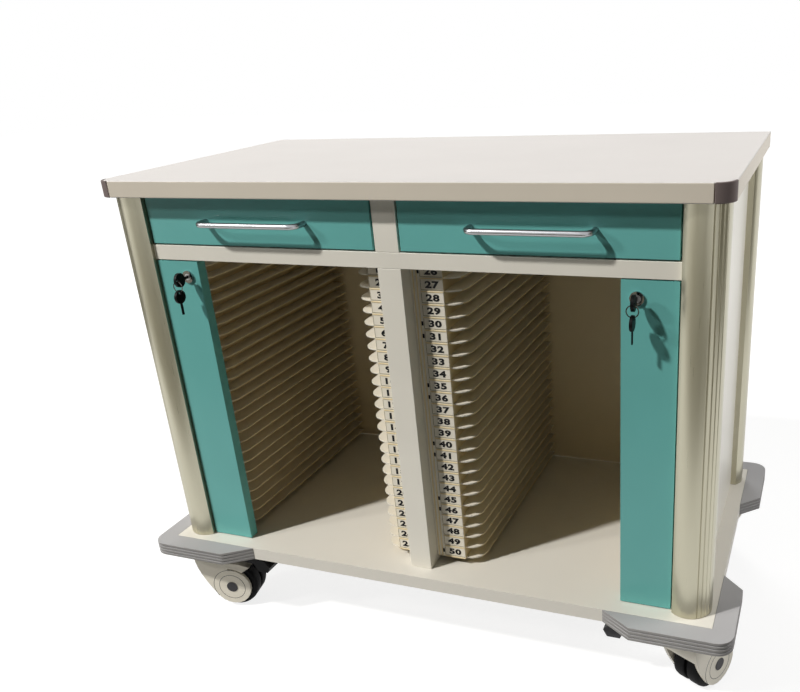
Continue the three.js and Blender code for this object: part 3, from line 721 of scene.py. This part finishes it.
def sky():
    """A dim sky for light, seen as white."""
    world = bpy.data.worlds.new("studio")
    bpy.context.scene.world = world
    world.use_nodes = True
    tree = world.node_tree
    dim = tree.nodes["Background"]
    dim.inputs["Color"].default_value = SKY_COLOUR
    dim.inputs["Strength"].default_value = SKY
    white = tree.nodes.new("ShaderNodeBackground")
    white.inputs["Color"].default_value = WHITE
    white.inputs["Strength"].default_value = 1
    mix = tree.nodes.new("ShaderNodeMixShader")
    tree.links.new(seen(tree), mix.inputs["Fac"])
    tree.links.new(dim.outputs[0], mix.inputs[1])
    tree.links.new(white.outputs[0], mix.inputs[2])
    tree.links.new(mix.outputs[0], tree.nodes["World Output"].inputs["Surface"])


def panel(name, reach):
    """A flat square stage piece, with its reach in metres from the middle to each edge."""
    mesh = bpy.data.meshes.new(name)
    shape = bmesh.new()
    bmesh.ops.create_grid(shape, x_segments=1, y_segments=1, size=reach)
    shape.to_mesh(mesh)
    shape.free()
    piece = bpy.data.objects.new(name, mesh)
    bpy.context.scene.collection.objects.link(piece)
    material = bpy.data.materials.new(name)
    material.use_nodes = True
    mesh.materials.append(material)
    return piece, material.node_tree


def floor():
    """A floor that is seen as white, keeps the trolley's shadow and fades into the sky far off."""
    _, tree = panel("floor", FLOOR_REACH)
    shader = tree.nodes["Principled BSDF"]
    shader.inputs["Roughness"].default_value = FLOOR_ROUGHNESS
    shader.inputs["Specular IOR Level"].default_value = 0
    place = tree.nodes.new("ShaderNodeTexCoord")
    far = tree.nodes.new("ShaderNodeVectorMath")
    far.operation = "LENGTH"
    tree.links.new(place.outputs["Object"], far.inputs[0])
    fade = tree.nodes.new("ShaderNodeMapRange")
    fade.interpolation_type = "SMOOTHSTEP"
    fade.inputs["From Min"].default_value = FLOOR_NEAR
    fade.inputs["From Max"].default_value = FLOOR_FAR
    fade.inputs["To Min"].default_value = FLOOR_GLOW
    fade.inputs["To Max"].default_value = 1
    tree.links.new(far.outputs["Value"], fade.inputs["Value"])
    looked_at = seen(tree)
    bounce = tree.nodes.new("ShaderNodeMapRange")
    bounce.inputs["From Min"].default_value = BOUNCE_NEAR
    bounce.inputs["From Max"].default_value = BOUNCE_FAR
    bounce.inputs["To Min"].default_value = FLOOR_BOUNCE
    bounce.inputs["To Max"].default_value = 0
    tree.links.new(far.outputs["Value"], bounce.inputs["Value"])
    shade = tree.nodes.new("ShaderNodeMapRange")
    tree.links.new(bounce.outputs["Result"], shade.inputs["To Min"])
    shade.inputs["To Max"].default_value = FLOOR_SHADE
    tree.links.new(looked_at, shade.inputs["Value"])
    tree.links.new(shade.outputs["Result"], shader.inputs["Base Color"])
    strength = tree.nodes.new("ShaderNodeMath")
    strength.operation = "MULTIPLY"
    tree.links.new(fade.outputs["Result"], strength.inputs[0])
    tree.links.new(looked_at, strength.inputs[1])
    tree.links.new(strength.outputs[0], shader.inputs["Emission Strength"])
    shader.inputs["Emission Color"].default_value = WHITE


def dark_card(name, reach, place, turn):
    """A dark panel that only reflections show, for the shaded bands on bright metal."""
    card, tree = panel(name, reach)
    tree.nodes["Principled BSDF"].inputs["Base Color"].default_value = rgb(*CARD_SHADE)
    card.location = place
    card.rotation_euler = [math.radians(angle) for angle in turn]
    card.visible_camera = False
    card.visible_diffuse = False
    card.visible_transmission = False
    card.visible_shadow = False


def studio():
    sky()
    floor()
    for card in CARDS:
        dark_card(**card)
    for front_lamp in FRONT_LAMPS:
        lamp(**front_lamp, colour=WARM)
    lamp("right", **RIGHT_LAMP, glints=False)
    lamp("back", **BACK_LAMP, glints=False)
    bpy.context.scene.view_settings.view_transform = "Standard"


camera()
carcass()
slots()
drawers()
locks()
casters()
studio()
